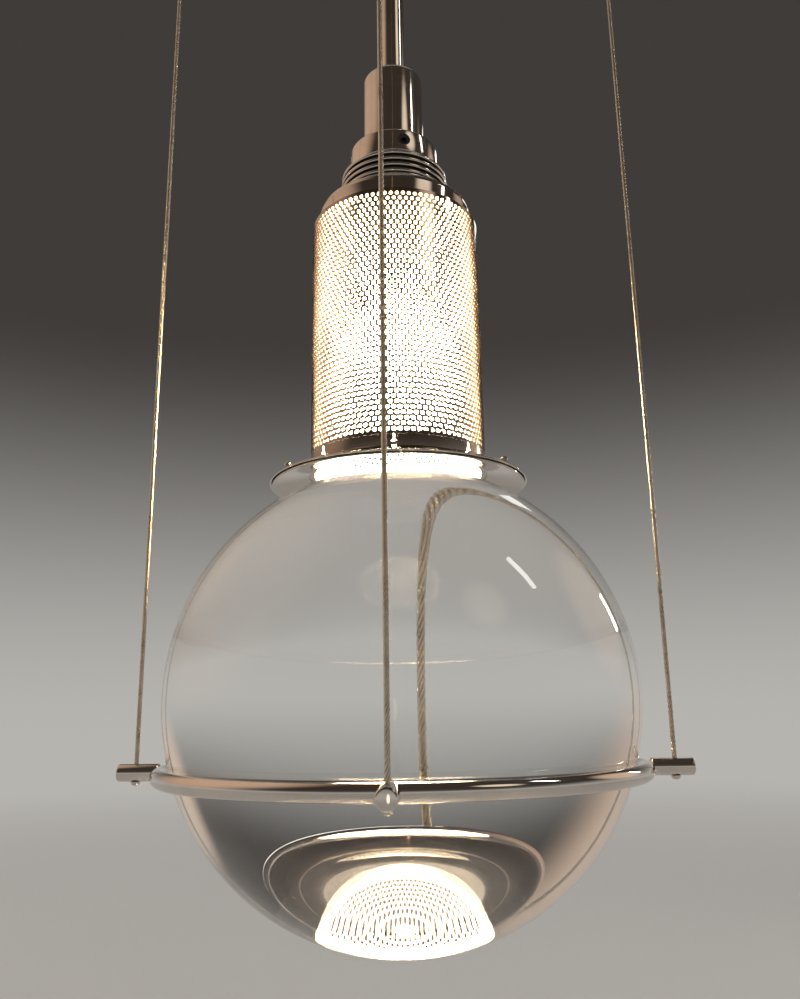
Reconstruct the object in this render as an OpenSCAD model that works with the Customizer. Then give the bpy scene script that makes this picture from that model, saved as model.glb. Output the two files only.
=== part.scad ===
// Crystal ball pendant light. Millimetres, +Z up, origin on the ceiling at the middle of the plate.
// The ball lies in a ring on four wires, and a perforated lamp head hangs above it on its own rod.

/* [Hanging height] */
// Height of the ceiling above the middle of the ball
drop = 525; // [500:5:700]

/* [Ball] */
// Diameter of the solid crystal ball
ball_d = 200; // [185:1:215]

/* [Ring and pins] */
// Diameter of the bar that the ring is bent from
ring_bar_d = 7; // [6:0.5:9]
// Height of the ring below the middle of the ball
ring_below = 30; // [20:1:45]
// Diameter of the four pins
pin_d = 7.2; // [6.4:0.1:9]
// Length of each pin outside its neck
pin_l = 17.8; // [16:0.1:24]
// Distance from a pin's outer end to its wire
wire_inset = 7.7; // [5:0.1:9]
// Diameter of the neck between pin and ring
neck_d = 5; // [4.5:0.1:6]
// Length of that neck
neck_l = 1; // [0.6:0.1:2]
// Diameter of the spigot that enters the ring
spigot_d = 3.8; // [3:0.1:4.2]

/* [Wires] */
// Diameter of the wire rope
wire_d = 2; // [1.5:0.1:2.5]
// Diameter of the stop under each pin
stop_d = 3.8; // [3.4:0.1:4.6]
// Height of the stop
stop_h = 1.6; // [1.2:0.1:3]
// Diameter of the grip that holds each wire at the plate
grip_d = 9; // [7:0.5:11]
// Length of that grip under the plate
grip_l = 10; // [6:0.5:12]

/* [Canopy] */
// Thickness of the ceiling plate
plate_t = 4; // [3:0.5:6]
// Plate left outside the circle of wires
plate_margin = 11; // [8:1:16]
// Circle of the ceiling screws
screw_pcd = 200; // [160:1:204]
// Diameter of the ceiling screw holes
screw_hole_d = 5.5; // [4:0.5:7]
// Depth of the canopy
canopy_h = 22; // [20:1:40]
// Wall of the canopy
canopy_t = 1.5; // [1:0.1:2.5]
// Radius of the canopy's lower edge
canopy_edge_r = 6; // [3:0.5:12]

/* [Rod] */
// Diameter of the rod
rod_d = 12.6; // [11:0.2:14]
// Bore of the rod, for the flex
rod_bore = 9.6; // [8:0.2:10]
// Diameter of the flange that holds the canopy up
flange_d = 30; // [24:1:40]
// Height of that flange
flange_h = 8; // [5:0.5:14]

/* [Coupling] */
// Diameter of the coupling at the rod's end
coupling_d = 30; // [27:0.5:32]
// Length of the coupling that shows above the collar
coupling_up = 42.8; // [30:0.2:60]
// Rounding of the coupling's top edge
coupling_round = 2.5; // [1:0.1:4]
// Diameter of the step that the collar rests on
step_d = 35; // [33.5:0.5:36]
// Thickness of that step
step_t = 3; // [2:0.1:4]

/* [Collar and ribbed cone] */
// Diameter of the collar
collar_d = 43.1; // [41:0.1:46]
// Height of the collar
collar_h = 11.8; // [9:0.1:16]
// Diameter of the collar's set screw
set_screw_d = 6; // [3.6:0.1:6.5]
// Direction of the set screw, turned from the front
set_screw_turn = 16; // [0:1:90]
// Height of the ribbed cone
cone_h = 16.6; // [14:0.1:20]
// Diameter of the cone's foot
cone_foot_d = 53.4; // [51:0.1:58]
// Diameter over the top rib
rib_top_d = 52; // [48:0.1:54]
// Height of the ribbed part
ribbed_h = 13.2; // [12:0.1:14.5]
// Number of ribs
rib_count = 4; // [3:1:5]
// Depth of the grooves between the ribs
rib_depth = 1.5; // [0.8:0.1:1.6]

/* [Cap] */
// Diameter of the cap over the lampholder
cap_d = 73.6; // [68:0.1:75]
// Height of the cap's straight side
cap_side_h = 8.5; // [6:0.1:14]
// Height of the cap's shoulder
shoulder_h = 7.8; // [6:0.1:10]
// Wall of the cap
cap_t = 1.5; // [1:0.1:2]

/* [Sleeve] */
// Outside diameter of the perforated sleeve
sleeve_d = 80; // [79:0.2:84]
// Height of the sleeve
sleeve_h = 120.5; // [105:0.5:130]
// Wall of the sleeve
sleeve_t = 1; // [0.8:0.1:1.4]
// Height of the plain band at its foot
band_h = 6.5; // [5.5:0.1:9]
// Number of holes round the sleeve
holes_round = 24; // [20:1:28]
// Part of the spacing that a hole takes
hole_share = 0.66; // [0.5:0.01:0.68]
// Number of slits in the band
slit_count = 7; // [5:1:8]
// Width of a slit
slit_w = 0.9; // [0.6:0.1:1.4]

/* [Brim] */
// Diameter over the brim
brim_d = 116.5; // [110:0.5:124]
// Fall of the brim from its throat to its edge
brim_fall = 7.6; // [6:0.1:9]
// Thickness of the brim
brim_t = 1.2; // [1:0.1:1.6]
// Diameter of the light opening
lip_d = 80.8; // [76:0.2:82]
// Height of the light opening's edge above the ball
lip_gap = 5.5; // [5:0.1:9]
// Number of screws on the brim
brim_screws_n = 3; // [3:1:6]
// Distance of these screws from the brim's edge
brim_screw_inset = 4.75; // [4.5:0.05:8]

/* [Bulb and holder] */
// Largest diameter of the bulb
bulb_d = 60; // [54:0.5:62]
// Length of the bulb with its cap
bulb_l = 105; // [98:0.5:108]
// Outside diameter of the lampholder
holder_d = 40; // [38:0.5:42]
// Length of the lampholder
holder_l = 51; // [46:0.5:54]
// Clearance round the bulb's cap in the lampholder
cap_clear = 0.4; // [0.3:0.05:0.6]

/* [Hidden] */
$fn = 96;

// Clearances: a running fit, a fixed fit in one body, and the gap between pieces that move apart
fit = 0.06;
snug = 0.03;
gap = 0.3;
eps = 0.5;

// Places on plan: the angle of each pin, measured from +X
RIGHT = 0;
REAR = 90;
LEFT = 180;
FRONT = 270;
SIDES = [RIGHT, REAR, LEFT, FRONT];

// Ball, ring and wires
ball_r = ball_d / 2;
ball_z = -drop;
ring_z = ball_z - ring_below;
ring_r = sqrt(pow(ball_r + gap + ring_bar_d / 2, 2) - pow(ring_below, 2));
neck_r0 = ring_r + ring_bar_d / 2;
pin_r0 = neck_r0 + neck_l;
pin_r1 = pin_r0 + pin_l;
wire_r = pin_r1 - wire_inset;
pin_chamfer = 0.4;

// Plate and canopy
plate_r = wire_r + plate_margin;
canopy_r = plate_r + gap + canopy_t;
screw_r = screw_pcd / 2;
boss_d = rod_d + 11;
boss_h = 9;
cable_hole_d = 18;
cable_hole_y = 36;
block_size = [26, 18, 11];
block_x = 38;

// Lamp head, from the light opening upwards
lip_r = lip_d / 2;
lip_z = ball_z + sqrt(pow(ball_r, 2) - pow(lip_r, 2)) + lip_gap;
under_t = 1;
throat_z = lip_z + under_t + brim_t;
seat_z = throat_z + 1.8;
edge_z = seat_z - brim_fall;
sleeve_r = sleeve_d / 2;
sleeve_top = seat_z + sleeve_h;
end_t = 1.6;
shoulder_z = sleeve_top + cap_side_h;
cone_z = shoulder_z + shoulder_h;
collar_z = cone_z + cone_h;
collar_top = collar_z + collar_h;
coupling_top = collar_top + coupling_up;
step_z = collar_z - gap;
holder_z = step_z - step_t;

brim_screw_pcd = brim_d - 2 * brim_screw_inset;

// Perforation: staggered rows, evenly spread over the height above the band
hole_pitch = PI * sleeve_d / holes_round;
hole_d = hole_pitch * hole_share;
hole_z0 = seat_z + band_h + hole_d / 2;
hole_z1 = sleeve_top - end_t - 0.6 - hole_d / 2;
hole_rows = 1 + round((hole_z1 - hole_z0) / (hole_pitch * sqrt(3) / 2));
row_step = (hole_z1 - hole_z0) / (hole_rows - 1);

// Bulb and its cap
cap_r = 13.3;
cap_l = 23;
neck_glass_r = 12.2;
contact_z = holder_z - 26;
tip_z = contact_z - bulb_l;
bulb_r = bulb_d / 2;
bulb_mid_z = tip_z + bulb_r;
button_h = 1.5;
insulator_h = 3.5;
shell_top = contact_z - button_h - insulator_h;
shell_foot = shell_top - cap_l;
glass_t = 0.9;
holder_bore_r = cap_r + cap_clear;
nipple_d = 10;
stem_z = shell_foot + 8;
stem_l = 48;
coil_r = 12;
coil_d = 1.1;
coil_z = bulb_mid_z + 2;
coil_open = 50;

// A solid of revolution from [radius, height] points
module turned(points) {
    rotate_extrude(convexity = 6)
        polygon(points);
}

// A straight bar between two points
module bar(a, b, d) {
    v = b - a;
    translate(a)
        rotate([0, acos(v[2] / norm(v)), atan2(v[1], v[0])])
            cylinder(d = d, h = norm(v), $fn = 16);
}

// Ceiling plate with its boss for the rod
module ceiling_plate() {
    color("gray")
    difference() {
        union() {
            translate([0, 0, -plate_t])
                cylinder(r = plate_r, h = plate_t);
            translate([0, 0, -plate_t - boss_h])
                cylinder(d = boss_d, h = boss_h + eps);
        }
        translate([0, 0, -plate_t - boss_h - eps])
            cylinder(d = rod_d + 2 * snug, h = boss_h + eps);
        for (a = SIDES) {
            rotate([0, 0, a])
                translate([wire_r, 0, -plate_t - eps])
                    cylinder(d = wire_d + 2 * snug, h = plate_t + 2 * eps, $fn = 32);
            rotate([0, 0, a + 45])
                translate([screw_r, 0, -plate_t - eps])
                    cylinder(d = screw_hole_d, h = plate_t + 2 * eps, $fn = 32);
        }
        translate([0, cable_hole_y, -plate_t - eps])
            cylinder(d = cable_hole_d, h = plate_t + 2 * eps, $fn = 32);
    }
}

// Canopy: a turned pan with a rounded lower edge
module canopy() {
    color("silver")
    difference() {
        rotate_extrude(convexity = 6)
            difference() {
                canopy_outline(0);
                canopy_outline(canopy_t);
            }
        translate([0, 0, -canopy_h - eps])
            cylinder(d = rod_d + 2 * gap, h = canopy_t + 2 * eps);
        for (a = SIDES)
            rotate([0, 0, a])
                translate([wire_r, 0, -canopy_h - eps])
                    cylinder(d = wire_d + 2 * gap, h = canopy_t + 2 * eps, $fn = 32);
    }
}

// Half outline of the canopy, drawn in by one wall for its inside
module canopy_outline(wall) {
    edge = canopy_edge_r - wall;
    up = wall > 0 ? eps : 0;
    translate([0, -canopy_h + wall + edge])
        square([canopy_r - wall, canopy_h - wall - edge + up]);
    translate([0, -canopy_h + wall])
        square([canopy_r - wall - edge, canopy_h - wall]);
    translate([canopy_r - wall - edge, -canopy_h + wall + edge])
        circle(r = edge, $fn = 48);
}

// Terminal block for the flex, under the plate
module terminal_block() {
    color("ivory")
    translate([block_x - block_size[0] / 2, -block_size[1] / 2, -plate_t - block_size[2]])
        difference() {
            cube(block_size);
            for (k = [1 : 3])
                translate([k * block_size[0] / 4, -eps, block_size[2] / 2])
                    rotate([-90, 0, 0])
                        cylinder(d = 3.4, h = block_size[1] + 2 * eps, $fn = 24);
        }
}

// Grips that hold the wires under the plate
module wire_grips() {
    color("lightgray")
    for (a = SIDES)
        rotate([0, 0, a])
            translate([wire_r, 0, -plate_t - grip_l])
                difference() {
                    cylinder(d = grip_d, h = grip_l, $fn = 32);
                    translate([0, 0, -eps])
                        cylinder(d = wire_d + 2 * snug, h = grip_l + 2 * eps, $fn = 32);
                }
}

// Flange on the rod that holds the canopy up
module rod_flange() {
    r0 = rod_d / 2 + snug;
    r1 = flange_d / 2;
    top = -canopy_h;
    color("silver")
    turned([[r0, top], [r1, top], [r1, top - flange_h * 0.35], [r1 - 2, top - flange_h * 0.6],
            [rod_d / 2 + 3, top - flange_h], [r0, top - flange_h]]);
}

// Rod, a tube from the plate down into the coupling
module rod() {
    foot = coupling_top - 15;
    color("silver")
    translate([0, 0, foot])
        difference() {
            cylinder(d = rod_d, h = -plate_t - foot);
            translate([0, 0, -eps])
                cylinder(d = rod_bore, h = -plate_t - foot + 2 * eps);
        }
}

// Coupling: socket for the rod above, step for the collar below
module coupling() {
    r = coupling_d / 2;
    c = coupling_round;
    color("lightsteelblue")
    difference() {
        rotate_extrude(convexity = 4) {
            translate([0, step_z - step_t])
                square([step_d / 2, step_t]);
            translate([0, step_z - eps])
                square([r, coupling_top - c - step_z + eps]);
            translate([0, coupling_top - c - eps])
                square([r - c, c + eps]);
            translate([r - c, coupling_top - c])
                circle(r = c, $fn = 48);
        }
        translate([0, 0, coupling_top - 15])
            cylinder(d = rod_d + 2 * snug, h = 15 + eps);
        translate([0, 0, step_z - step_t - eps])
            cylinder(d = nipple_d + 2 * snug, h = 14 + eps);
        translate([0, 0, step_z - step_t])
            cylinder(d = 7, h = coupling_top - 14 - step_z + step_t);
    }
}

// Threaded tube that joins the coupling and the lampholder
module nipple() {
    color("goldenrod")
    translate([0, 0, holder_z - 7])
        difference() {
            cylinder(d = nipple_d, h = 18);
            translate([0, 0, -eps])
                cylinder(d = nipple_d - 3, h = 18 + 2 * eps);
        }
}

// Lampholder shell: dome, straight skirt and rolled mouth
module lampholder() {
    r = holder_d / 2;
    foot = holder_z - holder_l;
    color("whitesmoke")
    difference() {
        rotate_extrude(convexity = 6) {
            polygon([[0, holder_z], [13, holder_z], [16, holder_z - 4], [16.6, holder_z - 14],
                     [r, holder_z - 20], [r, foot + 1.5], [0, foot + 1.5]]);
            translate([0, foot])
                square([r - 1.5, 2]);
            translate([r - 1.5, foot + 1.5])
                circle(r = 1.5, $fn = 32);
        }
        translate([0, 0, holder_z - 7 - eps])
            cylinder(d = nipple_d + 2 * snug, h = 7 + 2 * eps);
        translate([0, 0, foot - eps])
            cylinder(r = holder_bore_r, h = holder_l - 7 + eps);
    }
}

// Insulating core inside the lampholder
module holder_core() {
    top = holder_z - 7;
    color("ivory")
    difference() {
        translate([0, 0, top - 14])
            cylinder(r = holder_bore_r - snug, h = 14);
        translate([0, 0, top - 14 - eps])
            cylinder(d = 5, h = 14 + 2 * eps);
    }
}

// Centre contact of the lampholder: a rivet and a springy disc
module holder_contact() {
    top = holder_z - 21;
    color("goldenrod") {
        translate([0, 0, top - 1])
            cylinder(r = 7, h = 1);
        translate([0, 0, contact_z + gap])
            cylinder(r = 3, h = top - 1 - contact_z - gap + 0.1);
        translate([0, 0, top - 0.1])
            cylinder(d = 5 - 2 * snug, h = 6);
    }
}

// Ring, one round bar bent to a circle, bored for the pins
module ring() {
    color("silver")
    difference() {
        translate([0, 0, ring_z])
            rotate_extrude(convexity = 4)
                translate([ring_r, 0])
                    circle(d = ring_bar_d, $fn = 48);
        for (a = SIDES)
            rotate([0, 0, a])
                translate([ring_r, 0, ring_z])
                    rotate([0, 90, 0])
                        cylinder(d = spigot_d + 2 * snug, h = ring_bar_d, $fn = 32);
    }
}

// One pin: spigot, neck and body, pierced upright for its wire
module pin(a) {
    color("gainsboro")
    rotate([0, 0, a])
        difference() {
            translate([0, 0, ring_z])
                rotate([0, 90, 0])
                    rotate_extrude(convexity = 4)
                        polygon([[0, ring_r], [spigot_d / 2, ring_r], [spigot_d / 2, neck_r0],
                                 [neck_d / 2, neck_r0], [neck_d / 2, pin_r0],
                                 [pin_d / 2 - pin_chamfer, pin_r0], [pin_d / 2, pin_r0 + pin_chamfer],
                                 [pin_d / 2, pin_r1 - pin_chamfer], [pin_d / 2 - pin_chamfer, pin_r1],
                                 [0, pin_r1]]);
            translate([wire_r, 0, ring_z - pin_d])
                cylinder(d = wire_d + 2 * snug, h = 2 * pin_d, $fn = 32);
        }
}

// One wire, taut from the stop under its pin to the plate
module wire(a) {
    foot = ring_z - pin_d / 2;
    color("dimgray")
    rotate([0, 0, a])
        translate([wire_r, 0, foot])
            cylinder(d = wire_d, h = -foot - 0.5, $fn = 24);
}

module pin_right() pin(RIGHT);
module pin_rear() pin(REAR);
module pin_left() pin(LEFT);
module pin_front() pin(FRONT);
module wire_right() wire(RIGHT);
module wire_rear() wire(REAR);
module wire_left() wire(LEFT);
module wire_front() wire(FRONT);

// Domed stops on the ends of the wires
module wire_stops() {
    r = stop_d / 2;
    top = ring_z - pin_d / 2;
    color("gold")
    for (a = SIDES)
        rotate([0, 0, a])
            translate([wire_r, 0, top])
                rotate_extrude()
                    polygon([[0, 0], [r, 0], [r, -stop_h * 0.4], [r * 0.75, -stop_h * 0.8],
                             [r * 0.35, -stop_h], [0, -stop_h]]);
}

// Collar that slides on the coupling, with its set screw hole
module collar() {
    r = collar_d / 2;
    color("silver")
    difference() {
        turned([[coupling_d / 2 + fit, collar_z], [r, collar_z], [r, collar_top - 0.8],
                [r - 0.8, collar_top], [coupling_d / 2 + fit, collar_top]]);
        rotate([0, 0, FRONT + set_screw_turn])
            translate([coupling_d / 2 - 1, 0, (collar_z + collar_top) / 2])
                rotate([0, 90, 0])
                    cylinder(d = set_screw_d + 2 * fit, h = collar_d / 2, $fn = 32);
    }
}

// Set screw with a six-sided socket
module set_screw() {
    length = (collar_d - coupling_d) / 2 - gap - 0.6;
    color("dimgray")
    rotate([0, 0, FRONT + set_screw_turn])
        translate([coupling_d / 2 + gap, 0, (collar_z + collar_top) / 2])
            rotate([0, 90, 0])
                difference() {
                    cylinder(d = set_screw_d, h = length, $fn = 32);
                    translate([0, 0, length - 2.2])
                        cylinder(d = set_screw_d * 0.58, h = 3, $fn = 6);
                }
}

// Ribbed cone: four round ribs on a short drum, and a slope up to the collar
module rib_cone() {
    r_foot = cone_foot_d / 2;
    r_rib = rib_top_d / 2;
    step = ribbed_h / rib_count;
    rib_h = step * 0.5;
    color("silver")
    difference() {
        union() {
            turned([[0, cone_z], [r_foot - rib_depth, cone_z], [r_rib - rib_depth, cone_z + ribbed_h - 0.2],
                    [collar_d / 2, collar_z], [0, collar_z]]);
            for (k = [0 : rib_count - 1]) {
                z = cone_z + k * step + step - rib_h;
                r = r_foot + (r_rib - r_foot) * (k + 1) / rib_count;
                turned([[0, z], [r - 0.5, z], [r - 0.1, z + rib_h * 0.25], [r, z + rib_h * 0.5],
                        [r - 0.1, z + rib_h * 0.75], [r - 0.5, z + rib_h], [0, z + rib_h]]);
            }
            translate([0, 0, cone_z])
                cylinder(r = r_foot, h = step * 0.2);
        }
        translate([0, 0, cone_z - eps])
            cylinder(r1 = r_foot - 4, r2 = step_d / 2 + 0.4, h = cone_h + 2 * eps);
    }
}

// Cap over the lampholder: rounded shoulder, straight side and end plate
module cap() {
    r = cap_d / 2;
    r_in = r - cap_t;
    r_top = cone_foot_d / 2;
    s = sleeve_top - end_t;
    color("silver")
    turned([[r_top - 4, cone_z], [r_top, cone_z], [r - 3.6, shoulder_z + 3],
            [r - 1.9, shoulder_z + 1.9], [r - 0.5, shoulder_z + 0.7], [r, shoulder_z - 0.8],
            [r, sleeve_top], [sleeve_r - sleeve_t - snug, sleeve_top],
            [sleeve_r - sleeve_t - snug, s], [r_in, s], [r_in, shoulder_z - 1],
            [r_in - 3, shoulder_z + 1.2], [r_top - 4, cone_z - 1.6]]);
}

// Perforated sleeve with slits in its plain foot
module sleeve() {
    color("gainsboro")
    difference() {
        translate([0, 0, seat_z])
            difference() {
                cylinder(r = sleeve_r, h = sleeve_h);
                translate([0, 0, -eps])
                    cylinder(r = sleeve_r - sleeve_t, h = sleeve_h + 2 * eps);
            }
        for (row = [0 : hole_rows - 1])
            for (k = [0 : holes_round - 1])
                rotate([0, 0, (k + (row % 2) / 2) * 360 / holes_round])
                    translate([sleeve_r - sleeve_t - 1, 0, hole_z0 + row * row_step])
                        rotate([0, 90, 0])
                            cylinder(d = hole_d, h = sleeve_t + 2, $fn = 16);
        for (k = [0 : slit_count - 1])
            rotate([0, 0, FRONT + k * 360 / slit_count])
                translate([sleeve_r - sleeve_t - 1, 0, seat_z + 1.6]) {
                    translate([0, -slit_w / 2, 0])
                        cube([sleeve_t + 2, slit_w, band_h - 2.6]);
                    translate([0, -slit_w * 1.5, 0])
                        cube([sleeve_t + 2, slit_w * 3, slit_w]);
                }
    }
}

// Brim: a flared skirt that seats the sleeve, with a spigot inside it
module brim() {
    r = brim_d / 2;
    r_in = sleeve_r - sleeve_t - snug;
    color("silver")
    difference() {
        turned([[r_in - 1, throat_z - brim_t], [r_in - 1, seat_z + 1.4], [r_in, seat_z + 1.4],
                [r_in, seat_z], [sleeve_r + 0.3, seat_z], [sleeve_r + 1.6, throat_z + 0.3],
                [brim_mid_r(), brim_mid_z()], [r - 0.3, edge_z + 0.5], [r, edge_z + 0.2],
                [r, edge_z - 0.2], [r - 0.4, edge_z - 0.4],
                [brim_mid_r() - 0.4, brim_mid_z() - brim_t], [sleeve_r + 1.2, throat_z - brim_t]]);
        brim_screw_holes();
    }
}

// Middle point of the brim's curve
function brim_mid_r() = sleeve_r + (brim_d / 2 - sleeve_r) * 0.56;
function brim_mid_z() = edge_z + (throat_z - edge_z) * 0.66;

// Height of the brim's upper face at the screws
function screw_seat_z() = edge_z + 0.5 + (brim_mid_z() - edge_z - 0.5)
    * (brim_d / 2 - brim_screw_pcd / 2) / (brim_d / 2 - brim_mid_r());

// Places of the brim's screws
module at_brim_screws() {
    for (k = [0 : brim_screws_n - 1])
        rotate([0, 0, REAR + k * 360 / brim_screws_n])
            translate([brim_screw_pcd / 2, 0, screw_seat_z()])
                children();
}

module brim_screw_holes() {
    at_brim_screws()
        translate([0, 0, -8])
            cylinder(d = 1.8 + 2 * snug, h = 16, $fn = 24);
}

// Polished ring under the brim, whose inner edge is the light opening
module under_ring() {
    r = brim_d / 2 - 1.2;
    color("gainsboro")
    difference() {
        turned([[lip_r, lip_z], [r, edge_z - 1.4], [r, edge_z - 0.5],
                [brim_mid_r() - 0.4, brim_mid_z() - brim_t - snug],
                [sleeve_r + 1.2, throat_z - brim_t - snug], [lip_r, throat_z - brim_t - snug]]);
        brim_screw_holes();
    }
}

// Small round-headed screws through the brim
module brim_screws() {
    color("gold")
    at_brim_screws() {
        translate([0, 0, -2.6])
            cylinder(d = 1.8, h = 3.4, $fn = 24);
        translate([0, 0, 0.7])
            rotate_extrude()
                polygon([[0, 0], [1.5, 0], [1.5, 1.3], [1.1, 1.9], [0.5, 2.1], [0, 2.1]]);
    }
}

// Outline of the bulb drawn in by a wall: ball, then a smooth neck
function bulb_arc(wall) = [for (a = [-90 : 6 : 36])
    [(bulb_r - wall) * cos(a), bulb_mid_z + (bulb_r - wall) * sin(a)]];
function bulb_neck(wall) = let (r0 = (bulb_r - wall) * cos(36), z0 = bulb_mid_z + bulb_r * sin(36))
    [for (k = [1 : 8]) [
        neck_glass_r - wall + (r0 - neck_glass_r + wall) * (1 - sin(90 * k / 8)),
        z0 + (shell_foot - z0) * k / 8]];

module bulb_solid(wall, top) {
    turned(concat(bulb_arc(wall), bulb_neck(wall), [[neck_glass_r - wall, top], [0, top]]));
}

// Glass of the bulb, open at its neck inside the cap
module bulb_glass() {
    color("lightcyan", 0.5)
    difference() {
        bulb_solid(0, stem_z);
        bulb_solid(glass_t, stem_z + eps);
    }
}

// Glass stem that closes the neck, with the leads and supports of the filament fused into it
module bulb_stem() {
    r = neck_glass_r - glass_t - snug;
    color("lightcyan")
    difference() {
        turned([[0, stem_z], [r, stem_z], [r, stem_z - 2], [4.5, stem_z - 9], [2.6, stem_z - 20],
                [2.2, stem_z - stem_l + 4], [3.2, stem_z - stem_l + 3],
                [3.2, stem_z - stem_l + 1], [2, stem_z - stem_l], [0, stem_z - stem_l]]);
        filament_bars(snug);
    }
}

// Two leads and two supports, from inside the stem to just above the filament, made larger by a gap
module filament_bars(grow) {
    for (s = [-1, 1]) {
        lead = REAR - s * (coil_open / 2 + 3);
        support = FRONT + s * 40;
        bar([s * 1.6, 0, stem_z - 13],
            [coil_r * cos(lead), coil_r * sin(lead), coil_z + coil_d / 2 + 0.2], 0.7 + 2 * grow);
        bar([s * 0.8, -0.6, stem_z - stem_l + 2.4],
            [coil_r * cos(support), coil_r * sin(support), coil_z + coil_d / 2 + 0.3], 0.5 + 2 * grow);
    }
}

// Filament, bent to an open ring under its leads and supports
module filament() {
    color("orange") {
        translate([0, 0, coil_z])
            rotate([0, 0, REAR + coil_open / 2])
                rotate_extrude(angle = 360 - coil_open, convexity = 4)
                    translate([coil_r, 0])
                        circle(d = coil_d, $fn = 16);
        filament_bars(0);
    }
}

// Screw cap of the bulb with rounded turns
module bulb_cap() {
    turns = 5;
    pitch = 3.6;
    color("silver")
    difference() {
        union() {
            translate([0, 0, shell_foot])
                cylinder(r = cap_r - 0.7, h = cap_l);
            for (k = [0 : turns - 1])
                translate([0, 0, shell_foot + 3 + k * pitch])
                    rotate_extrude()
                        translate([cap_r - 1, 0])
                            circle(r = 1, $fn = 24);
        }
        translate([0, 0, shell_foot - eps])
            cylinder(r = neck_glass_r + snug, h = cap_l - 1 + eps);
    }
}

// Insulator and contact button at the end of the cap
module bulb_contact() {
    color("goldenrod")
    turned([[0, shell_top], [10.5, shell_top], [6, shell_top + insulator_h],
            [4.6, shell_top + insulator_h], [4.6, contact_z - 0.5], [3.6, contact_z], [0, contact_z]]);
}

// Solid crystal ball
module crystal_ball() {
    color("aliceblue", 0.5)
    translate([0, 0, ball_z])
        sphere(r = ball_r);
}

ceiling_plate();
canopy();
terminal_block();
wire_grips();
rod_flange();
rod();
coupling();
nipple();
lampholder();
holder_core();
holder_contact();
ring();
pin_right();
pin_rear();
pin_left();
pin_front();
wire_right();
wire_rear();
wire_left();
wire_front();
wire_stops();
collar();
rib_cone();
cap();
sleeve();
brim();
under_ring();
brim_screws();
set_screw();
bulb_glass();
bulb_stem();
filament();
bulb_cap();
bulb_contact();
crystal_ball();
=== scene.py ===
import math

import bpy
from mathutils import Matrix, Vector


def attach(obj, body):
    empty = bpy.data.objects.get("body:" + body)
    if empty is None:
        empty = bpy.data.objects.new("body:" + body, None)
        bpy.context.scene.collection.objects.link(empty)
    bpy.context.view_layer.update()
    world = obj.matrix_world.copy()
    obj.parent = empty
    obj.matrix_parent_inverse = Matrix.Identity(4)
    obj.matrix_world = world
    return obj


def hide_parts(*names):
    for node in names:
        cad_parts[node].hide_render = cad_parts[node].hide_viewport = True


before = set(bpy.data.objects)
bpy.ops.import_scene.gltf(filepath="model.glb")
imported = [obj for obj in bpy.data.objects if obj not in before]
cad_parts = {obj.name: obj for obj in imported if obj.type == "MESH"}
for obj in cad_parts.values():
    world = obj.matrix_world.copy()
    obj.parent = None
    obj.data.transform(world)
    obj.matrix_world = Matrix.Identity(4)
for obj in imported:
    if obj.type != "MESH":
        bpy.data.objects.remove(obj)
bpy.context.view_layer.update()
scene = bpy.context.scene
MM = 0.001

# Measures in mm, as in the part's source. Heights are from the ceiling, and so below zero,
# and reaches are from the upright axis.
BALL_Z = -525.0
BALL_R = 100.0

RING_Z = -555.0
RING_R = 99.37
BAR_R = 3.5

PIN_R = 3.6
PIN_START = 103.87
PIN_END = 121.67
NECK_R = 2.5
SPIGOT_R = 1.9

WIRE_REACH = 113.97
WIRE_FOOT = -558.6
WIRE_TOP = -0.5
ROPE_R = 1.0
# Where each wire and its pin stand about the axis, in degrees
SIDES = {"right": 0, "rear": 90, "left": 180, "front": 270}

CANOPY_R = 126.77
CANOPY_Z = -22
CANOPY_WALL = 1.5
FLANGE_R = 15
FLANGE_Z = -30

ROD_R = 6.3
ROD_BORE = 4.8
ROD_TOP = -4.0
ROD_FOOT = -231.02
SNUG_BORE = 6.33          # round the rod

COUPLING_R = 15
COUPLING_TOP = -216.02
STEP_R = 17.5             # the wider foot of the coupling
STEP_TOP = -270.92
STEP_Z = -273.92
NIPPLE_BORE = 5.03
NIPPLE_TOP = -259.92
FLEX_BORE = 3.5

COLLAR_R = 21.55
COLLAR_TOP = -258.82
COLLAR_Z = -270.62
SET_SCREW_R = 3.0
SET_SCREW_TURN = 286      # degrees about the axis

CONE_R = 26.7             # the foot of the ribbed piece
CONE_Z = -287.22
HEAD_BORE = 22.75         # of the ribbed piece and the cap, round the lampholder
RIBS = 4
RIBBED_H = 13.2
RIB_DEPTH = 1.5
TAPER = 0.7               # how much narrower the top rib is than the foot

CAP_R = 36.8
SHOULDER_Z = -295.02
SLEEVE_R = 40.0
SLEEVE_WALL = 1.0
SLEEVE_TOP = -303.52
SLEEVE_BORE = 38.95       # what the cap and the brim leave inside the sleeve
SEAT_Z = -424.02
SLITS = 7

LIP_R = 40.4              # the light opening
LIP_Z = -428.02
EDGE_Z = -431.62          # the brim's outer edge

BULB_R = 30
BULB_Z = -374.92
BULB_WALL = 0.9
BULB_NECK_R = 12.2
STEM_Z = -319.92
SHELL_FOOT = -327.92

FLOOR_Z = -0.82           # in metres

HORIZON = (0.47, 0.455, 0.43, 1)
ZENITH = (0.05, 0.045, 0.041, 1)
BEHIND = (0.05, 0.037, 0.028, 1)    # the upper part of the room on the camera's side


# ---------- camera ----------

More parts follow.
